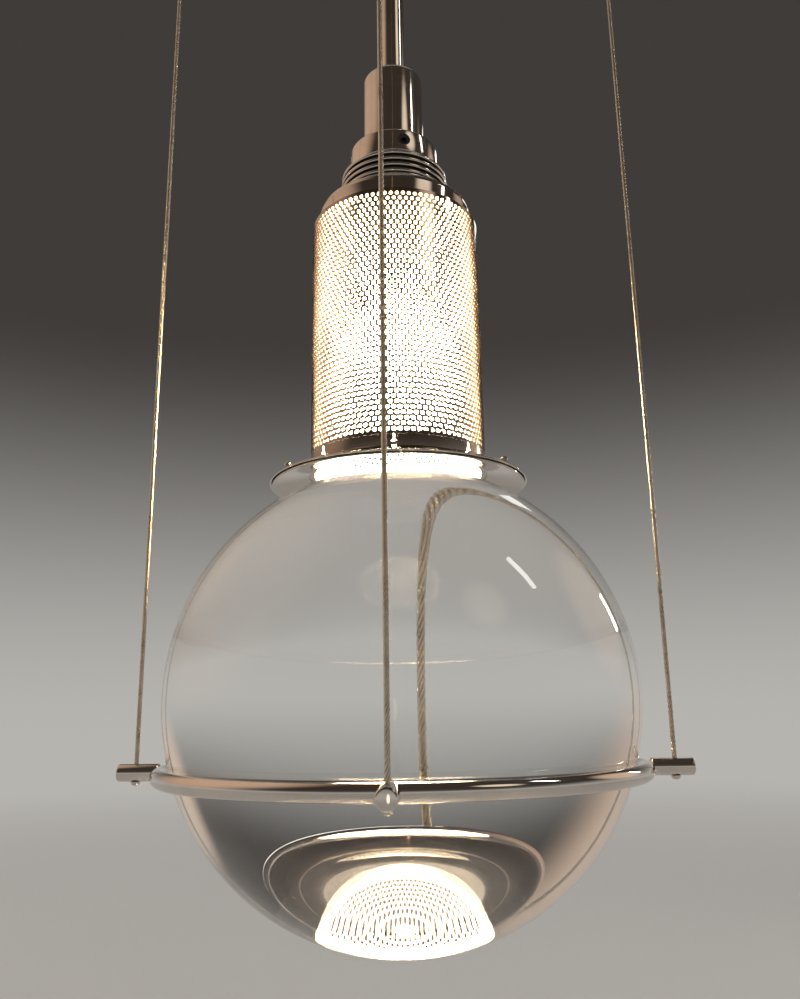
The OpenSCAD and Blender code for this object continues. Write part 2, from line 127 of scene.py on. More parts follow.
def set_camera():
    """A camera at the photograph's place, turned as it was."""
    data = bpy.data.cameras.new("camera")
    data.lens = 30.72
    data.clip_start = 0.02
    data.clip_end = 60.0
    cam = bpy.data.objects.new("camera", data)
    scene.collection.objects.link(cam)
    yaw, pitch, roll = (math.radians(a) for a in (-2.15, 13.77, -0.85))
    ahead = Vector((math.sin(yaw) * math.cos(pitch), math.cos(yaw) * math.cos(pitch), math.sin(pitch)))
    right = Vector((math.cos(yaw), -math.sin(yaw), 0))
    up = right.cross(ahead)
    across = right * math.cos(roll) + up * math.sin(roll)
    upward = up * math.cos(roll) - right * math.sin(roll)
    place = Matrix((across, upward, -ahead)).transposed().to_4x4()
    place.translation = (0.01477, -0.37653, -0.52993)
    cam.matrix_world = place
    scene.camera = cam


# ---------- modelling ----------

def begin():
    """Clears the selection, so that the next piece stands alone in it."""
    bpy.ops.object.select_all(action="DESELECT")


def named(name):
    """Names the piece that was just added, and its mesh."""
    piece = bpy.context.object
    piece.name = name
    piece.data.name = name
    return piece


def editing():
    bpy.ops.object.mode_set(mode="EDIT")


def done_editing():
    bpy.ops.object.mode_set(mode="OBJECT")


def only(piece):
    """Selects one piece, and makes it the active one."""
    begin()
    piece.select_set(True)
    bpy.context.view_layer.objects.active = piece


def eased(points, steps=5):
    """An outline in which a point (radius, height, round) becomes an arc of that rounding."""
    out = []
    for i, point in enumerate(points):
        here = Vector(point[:2])
        if len(point) < 3:
            out.append((here.x, here.y))
            continue
        before = Vector(points[i - 1][:2]) - here
        after = Vector(points[(i + 1) % len(points)][:2]) - here
        half = before.angle(after) / 2
        run = min(point[2] / math.tan(half), before.length * 0.49, after.length * 0.49)
        radius = run * math.tan(half)
        centre = here + (before.normalized() + after.normalized()).normalized() * radius / math.sin(half)
        arm = here + before.normalized() * run - centre
        end = here + after.normalized() * run - centre
        sweep = math.atan2(arm.x * end.y - arm.y * end.x, arm.dot(end))
        for k in range(steps + 1):
            a = sweep * k / steps
            out.append((centre.x + arm.x * math.cos(a) - arm.y * math.sin(a),
                        centre.y + arm.x * math.sin(a) + arm.y * math.cos(a)))
    return out


def lathe(name, outline, sides=144):
    """Draws a closed outline of (radius, height) points in mm, and spins it about the upright axis."""
    begin()
    bpy.ops.mesh.primitive_plane_add(size=0.001)
    piece = named(name)
    editing()
    bpy.ops.mesh.merge(type="CENTER")
    r0, z0 = outline[0]
    bpy.ops.transform.translate(value=(r0 * MM, 0, z0 * MM))
    for r1, z1 in outline[1:] + outline[:1]:
        bpy.ops.mesh.extrude_vertices_move(
            TRANSFORM_OT_translate={"value": ((r1 - r0) * MM, 0, (z1 - z0) * MM)})
        r0, z0 = r1, z1
    bpy.ops.mesh.select_all(action="SELECT")
    bpy.ops.mesh.remove_doubles(threshold=1e-7)
    bpy.ops.mesh.spin(steps=sides, angle=2 * math.pi, center=(0, 0, 0), axis=(0, 0, 1))
    bpy.ops.mesh.select_all(action="SELECT")
    bpy.ops.mesh.remove_doubles(threshold=1e-6)
    bpy.ops.mesh.normals_make_consistent(inside=False)
    done_editing()
    return piece


def settle(piece):
    """Applies a piece's place and turn to its mesh."""
    only(piece)
    bpy.ops.object.transform_apply(location=True, rotation=True, scale=True)


def apply_modifiers(piece):
    only(piece)
    for m in list(piece.modifiers):
        bpy.ops.object.modifier_apply(modifier=m.name)


def cut(piece, cutters):
    """Takes the cutters out of a piece."""
    for cutter in cutters:
        m = piece.modifiers.new("cut", "BOOLEAN")
        m.operation = "DIFFERENCE"
        m.solver = "EXACT"
        m.object = cutter
        apply_modifiers(piece)
        bpy.data.objects.remove(cutter)


def drill(radius, length, place, turn=(0, 0, 0), sides=32):
    """A round cutter in mm, whose middle is at place."""
    begin()
    bpy.ops.mesh.primitive_cylinder_add(
        vertices=sides, radius=radius * MM, depth=length * MM,
        location=[v * MM for v in place], rotation=turn)
    tool = named("drill")
    settle(tool)
    return tool


def around(reach, degrees, z):
    """A place in mm at that reach from the axis, turned about it by that many degrees."""
    a = math.radians(degrees)
    return reach * math.cos(a), reach * math.sin(a), z


def side_drill(radius, length, reach, degrees, z, sides=32):
    """A round cutter in mm that lies along a spoke from the axis."""
    along = (math.pi / 2, 0, math.radians(degrees) + math.pi / 2)
    return drill(radius, length, around(reach, degrees, z), along, sides)


def block(size, place, turn=0.0):
    """A box cutter in mm, whose middle is at place, turned about the upright axis."""
    begin()
    bpy.ops.mesh.primitive_cube_add(size=1)
    tool = named("block")
    tool.scale = [v * MM for v in size]
    settle(tool)
    tool.location = [v * MM for v in place]
    settle(tool)
    tool.rotation_euler = (0, 0, turn)
    settle(tool)
    return tool


def fit(piece, body, node, finish, angle=35):
    """Shades a piece, and puts it in the place of its CAD node with its finish."""
    only(piece)
    bpy.ops.object.shade_smooth_by_angle(angle=math.radians(angle))
    piece.data.materials.clear()
    for material in finish if isinstance(finish, list) else [finish]:
        piece.data.materials.append(material)
    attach(piece, body)
    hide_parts(node)
    return piece


# ---------- shader groups ----------

# Places, heights and sizes in the shaders are in metres

def add(tree, kind, inputs=None, **settings):
    """One shader node. An input is a plain value, or an output socket to link."""
    n = tree.nodes.new(kind)
    for key, value in settings.items():
        setattr(n, key, value)
    for key, value in (inputs or {}).items():
        if isinstance(value, bpy.types.NodeSocket):
            tree.links.new(value, n.inputs[key])
        else:
            n.inputs[key].default_value = value
    return n


def maths(tree, operation, a, b=0.0, clamp=False):
    return add(tree, "ShaderNodeMath", {0: a, 1: b}, operation=operation, use_clamp=clamp).outputs[0]


def span(tree, value, low, high, to_low=0.0, to_high=1.0, smooth=True):
    """Maps a value from one range to another, held at both ends."""
    n = add(tree, "ShaderNodeMapRange", {"Value": value, "From Min": low, "From Max": high,
                                         "To Min": to_low, "To Max": to_high})
    n.interpolation_type = "SMOOTHSTEP" if smooth else "LINEAR"
    return n.outputs["Result"]


def blend(tree, share, a, b):
    n = add(tree, "ShaderNodeMix", {"Factor": share}, data_type="RGBA")
    for socket, value in ((n.inputs[6], a), (n.inputs[7], b)):
        if isinstance(value, bpy.types.NodeSocket):
            tree.links.new(value, socket)
        else:
            socket.default_value = value
    return n.outputs[2]


def object_place(tree):
    return add(tree, "ShaderNodeTexCoord").outputs["Object"]


def height_of(tree, place):
    return add(tree, "ShaderNodeSeparateXYZ", {0: place}).outputs[2]


def reach_of(tree, place):
    """How far a place is from the upright axis."""
    flat = add(tree, "ShaderNodeVectorMath", {0: place, 1: (1, 1, 0)}, operation="MULTIPLY").outputs[0]
    return add(tree, "ShaderNodeVectorMath", {0: flat}, operation="LENGTH").outputs["Value"]


def group(name, inputs, outputs):
    """A shared shader group, with its input and output nodes."""
    tree = bpy.data.node_groups.new(name, "ShaderNodeTree")
    for label, (kind, value) in inputs.items():
        socket = tree.interface.new_socket(name=label, in_out="INPUT", socket_type="NodeSocket" + kind)
        socket.default_value = value
    for label, kind in outputs.items():
        tree.interface.new_socket(name=label, in_out="OUTPUT", socket_type="NodeSocket" + kind)
    return tree, tree.nodes.new("NodeGroupInput"), tree.nodes.new("NodeGroupOutput")


def turning_marks():
    """Fine rings left by the lathe: they follow the height on walls and the radius on flat faces."""
    tree, given, made = group("turning_marks", {"Spacing": ("Float", 0.0004)},
                              {"Height": "Float", "Streak": "Float"})
    place = object_place(tree)
    rings = add(tree, "ShaderNodeCombineXYZ", {
        0: maths(tree, "DIVIDE", reach_of(tree, place), given.outputs["Spacing"]),
        1: maths(tree, "DIVIDE", height_of(tree, place), given.outputs["Spacing"])}).outputs[0]
    fine = add(tree, "ShaderNodeTexNoise", {"Vector": rings, "Scale": 1.0, "Detail": 3.0}).outputs[0]
    broad = add(tree, "ShaderNodeTexNoise", {"Vector": rings, "Scale": 0.11, "Detail": 1.0}).outputs[0]
    tree.links.new(fine, made.inputs["Height"])
    tree.links.new(span(tree, maths(tree, "MULTIPLY", fine, broad), 0.12, 0.42), made.inputs["Streak"])
    return tree


def handling():
    """Smears and finger marks: soft clouds broken up by fine ridges."""
    tree, given, made = group("handling", {"Size": ("Float", 0.03)}, {"Smear": "Float"})
    place = object_place(tree)
    scale = maths(tree, "DIVIDE", 1.0, given.outputs["Size"])
    cloud = add(tree, "ShaderNodeTexNoise", {"Vector": place, "Scale": scale, "Detail": 3.0,
                                             "Roughness": 0.6, "Distortion": 0.8})
    ridge = add(tree, "ShaderNodeTexNoise", {"Vector": place, "Detail": 2.0,
                                             "Scale": maths(tree, "MULTIPLY", scale, 14.0)})
    soft = span(tree, cloud.outputs[0], 0.48, 0.72)
    broken = span(tree, ridge.outputs[0], 0.3, 0.7, 0.35, 1.0)
    tree.links.new(maths(tree, "MULTIPLY", soft, broken), made.inputs["Smear"])
    return tree


def dust():
    """Settled dust: small grains, more of them on faces that look up."""
    tree, given, made = group("dust", {"Grain": ("Float", 0.0008), "Amount": ("Float", 0.3)},
                              {"Dust": "Float"})
    place = object_place(tree)
    facing = add(tree, "ShaderNodeNewGeometry").outputs["Normal"]
    scale = maths(tree, "DIVIDE", 1.0, given.outputs["Grain"])
    grains = add(tree, "ShaderNodeTexVoronoi", {"Vector": place, "Randomness": 1.0, "Scale": scale})
    spots = span(tree, grains.outputs["Distance"], 0.1, 0.24, 1.0, 0.0)
    cloud = add(tree, "ShaderNodeTexNoise", {"Vector": place, "Scale": 60.0, "Detail": 3.0})
    patches = span(tree, cloud.outputs[0], 0.42, 0.66)
    upward = span(tree, height_of(tree, facing), -0.35, 0.9, 0.12, 1.0)
    mask = maths(tree, "MULTIPLY", maths(tree, "MULTIPLY", spots, patches), upward)
    settled = maths(tree, "MULTIPLY", mask, given.outputs["Amount"], clamp=True)
    tree.links.new(settled, made.inputs["Dust"])
    return tree


def plating():
    """Slight clouds of warmer and darker tone in a plated or polished surface."""
    tree, given, made = group("plating", {"Light": ("Color", (0.8, 0.8, 0.8, 1)),
                                          "Deep": ("Color", (0.6, 0.58, 0.55, 1)),
                                          "Size": ("Float", 0.02)}, {"Colour": "Color"})
    scale = maths(tree, "DIVIDE", 1.0, given.outputs["Size"])
    cloud = add(tree, "ShaderNodeTexNoise", {
        "Vector": object_place(tree), "Scale": scale, "Detail": 4.0})
    share = span(tree, cloud.outputs[0], 0.35, 0.7)
    tone = blend(tree, share, given.outputs["Light"], given.outputs["Deep"])
    tree.links.new(tone, made.inputs["Colour"])
    return tree


def strands():
    """The single wires that a rope's strands are laid from, as a slanting fine ripple."""
    tree, given, made = group("strands", {"Pitch": ("Float", 0.0006)},
                              {"Ripple": "Float", "Dark": "Float"})
    place = object_place(tree)
    wave = add(tree, "ShaderNodeTexWave", {
        "Vector": place, "Scale": maths(tree, "DIVIDE", 0.5, given.outputs["Pitch"]),
        "Distortion": 1.2, "Detail": 1.0, "Detail Scale": 0.6}, bands_direction="DIAGONAL")
    stain = add(tree, "ShaderNodeTexNoise", {"Vector": place, "Scale": 240.0, "Detail": 3.0})
    tree.links.new(wave.outputs["Fac"], made.inputs["Ripple"])
    tree.links.new(span(tree, stain.outputs[0], 0.35, 0.9, 0.0, 0.7), made.inputs["Dark"])
    return tree


GROUPS = {}


def effect(tree, maker, inputs=None):
    """Places a shared shader group in a material, built the first time that it is asked for."""
    if maker not in GROUPS:
        GROUPS[maker] = maker()
    return add(tree, "ShaderNodeGroup", inputs, node_tree=GROUPS[maker])


# ---------- finishes ----------

def material(name, **fixed):
    """A new material, its tree and its Principled shader, whose plain values are set here."""
    made = bpy.data.materials.new(name)
    made.use_nodes = True
    tree = made.node_tree
    shader = tree.nodes["Principled BSDF"]
    for key, value in fixed.items():
        shader.inputs[key.replace("_", " ")].default_value = value
    return made, tree, shader


def relief(tree, shader, height, depth, strength):
    """Fine relief of that depth, in metres, from a height between 0 and 1."""
    n = add(tree, "ShaderNodeBump", {"Height": height, "Distance": depth, "Strength": strength})
    tree.links.new(n.outputs[0], shader.inputs["Normal"])


def clouded(tree, light, deep, size):
    """The two tones of a surface, in clouds of that size."""
    tone = effect(tree, plating, {"Light": (*light, 1), "Deep": (*deep, 1), "Size": size})
    return tone.outputs["Colour"]


def glow(tree, shader, share, dim, bright):
    """Light given off, from dim to bright by a share that changes over the surface."""
    tree.links.new(blend(tree, share, dim, bright), shader.inputs["Emission Color"])


def chrome(name, light, deep, rough, spacing=0.0004, depth=0.000004, smear=0.12, dusty=0.3, size=0.02):
    """Plated and polished metal with lathe marks, smears and dust."""
    made, tree, shader = material(name, Metallic=1.0)
    marks = effect(tree, turning_marks, {"Spacing": spacing})
    smears = effect(tree, handling, {"Size": 0.022}).outputs["Smear"]
    settled = effect(tree, dust, {"Grain": 0.0011, "Amount": dusty}).outputs["Dust"]
    tone = clouded(tree, light, deep, size)
    tree.links.new(blend(tree, settled, tone, (0.62, 0.59, 0.55, 1)), shader.inputs["Base Color"])
    worn = maths(tree, "ADD", maths(tree, "MULTIPLY", marks.outputs["Streak"], rough * 0.7), rough * 0.6)
    soiled = maths(tree, "ADD", worn, maths(tree, "MULTIPLY", smears, smear))
    dulled = maths(tree, "ADD", soiled, maths(tree, "MULTIPLY", settled, 0.45), clamp=True)
    tree.links.new(dulled, shader.inputs["Roughness"])
    relief(tree, shader, marks.outputs["Height"], depth, 0.5)
    return made


def ribbed_chrome():
    """Turned chrome whose grooves between the ribs are darkened with painted shade."""
    made = chrome("chrome_ribbed", (0.66, 0.6, 0.54), (0.58, 0.52, 0.46), 0.09, 0.0003)
    tree = made.node_tree
    shader = tree.nodes["Principled BSDF"]
    place = object_place(tree)
    height = height_of(tree, place)
    above_foot = maths(tree, "ADD", height, -CONE_Z * MM)
    taper = maths(tree, "MULTIPLY", above_foot, TAPER / RIBBED_H)
    reach = maths(tree, "ADD", reach_of(tree, place), taper)
    groove = span(tree, reach, (CONE_R - 0.9) * MM, (CONE_R - 0.15) * MM, 1.0, 0.0)
    ribs_top = CONE_Z + RIBBED_H
    beside_ribs = span(tree, height, (ribs_top - 0.4) * MM, ribs_top * MM, 1.0, 0.25)
    # Painted shade: the grooves between the ribs are darkened and dulled, fully along the ribs and a
    # quarter as much above them
    painted_groove_shade = maths(tree, "MULTIPLY", groove, beside_ribs)
    colour = shader.inputs["Base Color"].links[0].from_socket
    rough = shader.inputs["Roughness"].links[0].from_socket
    tree.links.new(blend(tree, painted_groove_shade, colour, (0.045, 0.035, 0.028, 1)), shader.inputs["Base Color"])
    dulled = maths(tree, "ADD", rough, maths(tree, "MULTIPLY", painted_groove_shade, 0.4), clamp=True)
    tree.links.new(dulled, shader.inputs["Roughness"])
    return made


def satin(name, light, deep, rough, metal=1.0, grain=0.0012):
    """Cast, drawn or zinc plated metal with a fine uneven skin."""
    made, tree, shader = material(name, Metallic=metal)
    tone = clouded(tree, light, deep, 0.006)
    smears = effect(tree, handling, {"Size": 0.015}).outputs["Smear"]
    settled = effect(tree, dust, {"Grain": 0.001, "Amount": 0.5}).outputs["Dust"]
    tree.links.new(blend(tree, settled, tone, (0.6, 0.57, 0.52, 1)), shader.inputs["Base Color"])
    skin = add(tree, "ShaderNodeTexNoise", {
        "Vector": object_place(tree), "Scale": 1 / grain, "Detail": 4.0}).outputs[0]
    uneven = span(tree, skin, 0.3, 0.7, rough * 0.8, rough * 1.2)
    soiled = maths(tree, "ADD", uneven, maths(tree, "MULTIPLY", smears, 0.15), clamp=True)
    tree.links.new(soiled, shader.inputs["Roughness"])
    relief(tree, shader, skin, 0.00003, 0.4)
    return made


def rope_steel():
    """Drawn steel, stained here and there between its single wires."""
    made, tree, shader = material("wire_steel", Metallic=1.0)
    lay = effect(tree, strands, {"Pitch": 0.0005})
    stain = lay.outputs["Dark"]
    colour = blend(tree, stain, (0.8, 0.71, 0.58, 1), (0.42, 0.34, 0.26, 1))
    tree.links.new(colour, shader.inputs["Base Color"])
    tree.links.new(span(tree, stain, 0, 1, 0.22, 0.42), shader.inputs["Roughness"])
    relief(tree, shader, lay.outputs["Ripple"], 0.00004, 0.6)
    return made


def painted_glow_metal():
    """The inside of the sleeve: bright satin metal, with a painted glow that stands in for the light of
    the filament beside it.
    """
    made, tree, shader = material("sleeve_inside", Metallic=0.55, Emission_Strength=20.0)
    made.cycles.emission_sampling = "NONE"
    # Painted glow: the inner wall gives off light, strongest beside the filament, fading far down
    # towards the top and a little towards the foot
    height = height_of(tree, object_place(tree))
    above = span(tree, height, -0.358, -0.308, 1.0, 0.07)
    below = span(tree, height, -0.385, -0.430, 1.0, 0.75)
    glow(tree, shader, maths(tree, "MULTIPLY", above, below), (0, 0, 0, 1), (1.0, 0.9, 0.71, 1))
    colour = clouded(tree, (0.95, 0.93, 0.88), (0.86, 0.82, 0.75), 0.01)
    tree.links.new(colour, shader.inputs["Base Color"])
    marks = effect(tree, turning_marks, {"Spacing": 0.0006})
    tree.links.new(span(tree, marks.outputs["Streak"], 0, 1, 0.4, 0.6), shader.inputs["Roughness"])
    return made


def clear_crystal():
    """Polished crystal, clear all through, with faint smears and a little dust on its crown."""
    made, tree, shader = material("crystal", Base_Color=(0.985, 0.99, 0.985, 1), Transmission_Weight=1.0,
                                  IOR=1.52, Metallic=0.0, Specular_IOR_Level=1.0)
    smears = effect(tree, handling, {"Size": 0.05}).outputs["Smear"]
    settled = effect(tree, dust, {"Grain": 0.0016, "Amount": 0.5}).outputs["Dust"]
    marks = maths(tree, "ADD", maths(tree, "MULTIPLY", smears, 0.012),
                  maths(tree, "MULTIPLY", settled, 0.5), clamp=True)
    tree.links.new(marks, shader.inputs["Roughness"])
    return made


def bulb_clear():
    """Thin clear glass, hazy with the light of its filament."""
    made, tree, shader = material("bulb_glass", Base_Color=(1, 0.985, 0.95, 1), Transmission_Weight=1.0,
                                  IOR=1.46, Metallic=0.0, Emission_Strength=45.0)
    smears = effect(tree, handling, {"Size": 0.02}).outputs["Smear"]
    tree.links.new(maths(tree, "MULTIPLY", smears, 0.08), shader.inputs["Roughness"])
    belly = span(tree, height_of(tree, object_place(tree)), -0.352, -0.332, 1.0, 0.12)
    glow(tree, shader, belly, (0.2, 0.14, 0.08, 1), (1.0, 0.82, 0.55, 1))
    return made


def stem_glass():
    """The glass stem, which the filament round its foot fills with light."""
    made, tree, shader = material("stem_glass", Base_Color=(0.97, 0.97, 0.95, 1), IOR=1.5,
                                  Transmission_Weight=1.0, Metallic=0.0, Emission_Strength=12.0)
    made.cycles.emission_sampling = "NONE"
    foot = span(tree, height_of(tree, object_place(tree)), -0.362, -0.338, 1.0, 0.04)
    glow(tree, shader, foot, (0, 0, 0, 1), (1.0, 0.8, 0.5, 1))
    smears = effect(tree, handling, {"Size": 0.01}).outputs["Smear"]
    rough = maths(tree, "ADD", maths(tree, "MULTIPLY", smears, 0.1), 0.02)
    tree.links.new(rough, shader.inputs["Roughness"])
    return made


def hot_wire():
    """The filament glows below its leads and supports, which are plain wire."""
    made, tree, shader = material("tungsten", Metallic=1.0, Roughness=0.35, Emission_Strength=2500.0)
    made.cycles.emission_sampling = "NONE"
    place = object_place(tree)
    hot = span(tree, height_of(tree, place), -0.3722, -0.3716, 1.0, 0.0)
    glow(tree, shader, hot, (0, 0, 0, 1), (1.0, 0.78, 0.45, 1))
    coil = add(tree, "ShaderNodeTexWave", {
        "Vector": place, "Scale": 700.0, "Distortion": 0.5}).outputs["Fac"]
    colour = blend(tree, coil, (0.5, 0.48, 0.45, 1), (0.75, 0.72, 0.66, 1))
    tree.links.new(colour, shader.inputs["Base Color"])
    relief(tree, shader, coil, 0.0001, 0.6)
    return made


def glazed(name, light, deep, rough):
    """Glazed porcelain or moulded plastic, with a slight uneven skin."""
    made, tree, shader = material(name, Metallic=0.0, Coat_Weight=0.4, Coat_Roughness=0.08)
    tone = clouded(tree, light, deep, 0.012)
    settled = effect(tree, dust, {"Grain": 0.0009, "Amount": 0.6}).outputs["Dust"]
    tree.links.new(blend(tree, settled, tone, (0.6, 0.56, 0.5, 1)), shader.inputs["Base Color"])
    skin = add(tree, "ShaderNodeTexNoise", {
        "Vector": object_place(tree), "Scale": 1250.0, "Detail": 2.0}).outputs[0]
    tree.links.new(span(tree, skin, 0.3, 0.7, rough * 0.8, rough * 1.25), shader.inputs["Roughness"])
    relief(tree, shader, skin, 0.00002, 0.3)
    return made


# ---------- pieces ----------

def wire_rope(side, angle, finish):
    """Six strands laid round a core, twisted over the whole length from the stop to the plate."""
    length, turns = WIRE_TOP - WIRE_FOOT, 46
    begin()
    bpy.ops.mesh.primitive_circle_add(vertices=24, radius=ROPE_R * MM)
    rope = named("rope_" + side)
    editing()
    # Of every four points one stays on a strand's crest, and the others sink in towards the valley
    for step, share in ((0, 0.577), (1, 0.929), (3, 0.929)):
        bpy.ops.mesh.select_all(action="DESELECT")
        done_editing()
        for v in rope.data.vertices:
            v.select = v.index % 4 == step
        editing()
        bpy.ops.transform.resize(value=(share, share, 1))
    done_editing()
    twist = rope.modifiers.new("twist", "SCREW")
    twist.axis = "Z"
    twist.angle = 2 * math.pi
    twist.screw_offset = length / turns * MM
    twist.iterations = turns
    twist.steps = twist.render_steps = 9
    apply_modifiers(rope)
    editing()
    bpy.ops.mesh.select_all(action="SELECT")
    bpy.ops.mesh.remove_doubles(threshold=1e-7)
    bpy.ops.mesh.select_all(action="DESELECT")
    bpy.ops.mesh.select_mode(type="EDGE")
    bpy.ops.mesh.select_non_manifold()
    bpy.ops.mesh.fill_holes(sides=0)
    bpy.ops.mesh.select_all(action="SELECT")
    bpy.ops.mesh.normals_make_consistent(inside=False)
    bpy.ops.mesh.select_mode(type="VERT")
    done_editing()
    x, y, foot = around(WIRE_REACH, angle, WIRE_FOOT)
    rope.location = (x * MM, y * MM, foot * MM)
    settle(rope)
    fit(rope, "frame", "wire_" + side, finish, 50)


def crystal_ball(finish):
    """A cube cut into small faces and swollen to a true ball, so that it has no poles."""
    cuts = 79
    inset = 0.9998            # keeps every point inside the CAD ball
    begin()
    bpy.ops.mesh.primitive_cube_add(size=1.2 * BALL_R * MM)
    ball = named("ball")
    editing()
    bpy.ops.mesh.subdivide(number_cuts=cuts)
    bpy.ops.transform.tosphere(value=1.0)
    done_editing()
    reach = sum(v.co.length for v in ball.data.vertices) / len(ball.data.vertices)
    ball.scale = [BALL_R * MM * inset / reach] * 3
    settle(ball)
    ball.location = (0, 0, BALL_Z * MM)
    settle(ball)
    fit(ball, "ball", "crystal_ball", finish, 180)


def bent_ring(finish):
    """A round bar bent to a ring, with a bore for each pin's spigot."""
    begin()
    bpy.ops.mesh.primitive_circle_add(vertices=36, radius=BAR_R * MM, rotation=(math.pi / 2, 0, 0),
                                      location=(RING_R * MM, 0, RING_Z * MM))
    ring = named("ring_bar")
    settle(ring)
    editing()
    bpy.ops.mesh.select_all(action="SELECT")
    bpy.ops.mesh.spin(steps=240, angle=2 * math.pi, center=(0, 0, 0), axis=(0, 0, 1))
    bpy.ops.mesh.select_all(action="SELECT")
    bpy.ops.mesh.remove_doubles(threshold=1e-6)
    bpy.ops.mesh.normals_make_consistent(inside=False)
    done_editing()
    for angle in SIDES.values():
        cut(ring, [side_drill(SPIGOT_R + 0.05, 2 * BAR_R, RING_R + BAR_R, angle, RING_Z)])
    fit(ring, "frame", "ring", finish, 40)


def pin(side, angle, finish):
    """A turned pin: spigot, neck, and a body whose ends are eased, pierced for its wire."""
    shoulder = RING_R + BAR_R
    body = lathe("pin_body_" + side, eased([
        (0, RING_R), (SPIGOT_R, RING_R), (SPIGOT_R, shoulder), (NECK_R, shoulder, 0.15),
        (NECK_R, PIN_START, 0.3), (PIN_R, PIN_START, 0.45), (PIN_R, PIN_END, 0.9), (0, PIN_END)]), 64)
    body.rotation_euler = (0, math.pi / 2, 0)
    body.location = (0, 0, RING_Z * MM)
    settle(body)
    cut(body, [drill(ROPE_R + 0.03, 12, (WIRE_REACH, 0, RING_Z))])
    body.rotation_euler = (0, 0, math.radians(angle))
    settle(body)
    fit(body, "frame", "pin_" + side, finish, 40)


def perforated_sleeve(outside, inside):
    """A staggered net of points on a tube, each opened to a round hole, with a slit band at its foot."""
    columns, rows = 92, 47
    top_row, low_row = -306.3, -416.7
    opening, roundness = 0.93, 0.1786
    step = (top_row - low_row) / (rows - 1)
    foot = low_row - step
    net_height = (rows + 1) * step
    begin()
    bpy.ops.mesh.primitive_cylinder_add(
        vertices=columns, radius=SLEEVE_R * MM, depth=net_height * MM, end_fill_type="NOTHING",
        location=(0, 0, (foot + net_height / 2) * MM))
    net = named("net_upper")
    settle(net)
    low = min(v.co.z for v in net.data.vertices)
    editing()
    bpy.ops.mesh.select_all(action="DESELECT")
    bpy.ops.mesh.select_mode(type="EDGE")
    done_editing()
    # Rows of points, every second one turned by half a step, with a net of triangles between them
    for e in net.data.edges:
        ends = [net.data.vertices[i].co.z for i in e.vertices]
        e.select = abs(ends[0] - ends[1]) > 0.01
    editing()
    bpy.ops.mesh.subdivide(number_cuts=rows)
    bpy.ops.mesh.select_mode(type="VERT")
    bpy.ops.mesh.select_all(action="DESELECT")
    done_editing()
    level = [round((v.co.z - low) / (step * MM)) for v in net.data.vertices]
    for v in net.data.vertices:
        v.select = level[v.index] % 2 == 0
    editing()
    bpy.ops.transform.rotate(value=math.pi / columns, orient_axis="Z", center_override=(0, 0, 0))
    bpy.ops.mesh.select_all(action="SELECT")
    bpy.ops.mesh.quads_convert_to_tris(quad_method="SHORTEST_DIAGONAL")
    bpy.ops.mesh.select_all(action="DESELECT")
    done_editing()
    # Each point opens to a disc, which this profile makes round, and the discs are taken out
    for v in net.data.vertices:
        v.select = 1 <= level[v.index] <= rows
    editing()
    bpy.ops.mesh.bevel(offset_type="OFFSET", offset=opening * MM, segments=2, profile=roundness,
                       affect="VERTICES", clamp_overlap=False)
    bpy.ops.mesh.select_all(action="DESELECT")
    bpy.ops.mesh.select_mode(type="FACE")
    bpy.ops.mesh.select_face_by_sides(number=4, type="EQUAL", extend=False)
    bpy.ops.mesh.delete(type="FACE")
    bpy.ops.mesh.select_mode(type="VERT")
    done_editing()
    top = low + net_height * MM
    middle = low + (rows // 2) * step * MM
    for v in net.data.vertices:
        if v.co.z > top - 1e-5:
            v.co.z = SLEEVE_TOP * MM
    # The lower half becomes a piece of its own, so that each is light enough
    editing()
    bpy.ops.mesh.select_all(action="DESELECT")
    bpy.ops.mesh.select_mode(type="FACE")
    done_editing()
    for face in net.data.polygons:
        face.select = face.center.z < middle
    editing()
    bpy.ops.mesh.separate(type="SELECTED")
    bpy.ops.mesh.select_mode(type="VERT")
    done_editing()
    lower = next(o for o in bpy.context.selected_objects if o is not net)
    lower.name = lower.data.name = "net_lower"
    inner, band_top = SLEEVE_R - SLEEVE_WALL, foot - 0.01
    band = lathe("net_foot", eased([
        (inner, SEAT_Z), (SLEEVE_R, SEAT_Z, 0.15), (SLEEVE_R, band_top),
        (inner, band_top)]), columns * 2)
    # Each slit is a narrow upright cut that stands on a short level one
    upright, level_cut = (4, 0.6, 3.4), (4, 2.2, 0.6)
    for k in range(SLITS):
        a = math.radians(270 + k * 360 / SLITS)
        cut(band, [block(upright, (SLEEVE_R, 0, SEAT_Z + 3.2), a),
                   block(level_cut, (SLEEVE_R, 0, SEAT_Z + 1.8), a)])
    for piece in (net, lower):
        wall = piece.modifiers.new("wall", "SOLIDIFY")
        wall.thickness = SLEEVE_WALL * MM
        wall.offset = -1
        wall.material_offset = 1
        wall.material_offset_rim = 0
        piece.data.materials.append(outside)
        piece.data.materials.append(inside)
        apply_modifiers(piece)
    for face in band.data.polygons:
        facing = Vector((face.center.x, face.center.y, 0)).normalized().dot(face.normal)
        face.material_index = 0 if facing > 0.5 else 1
    for piece in (net, lower, band):
        indices = [face.material_index for face in piece.data.polygons]
        fit(piece, "shade", "sleeve", [outside, inside], 30)
        for face, index in zip(piece.data.polygons, indices):
            face.material_index = index


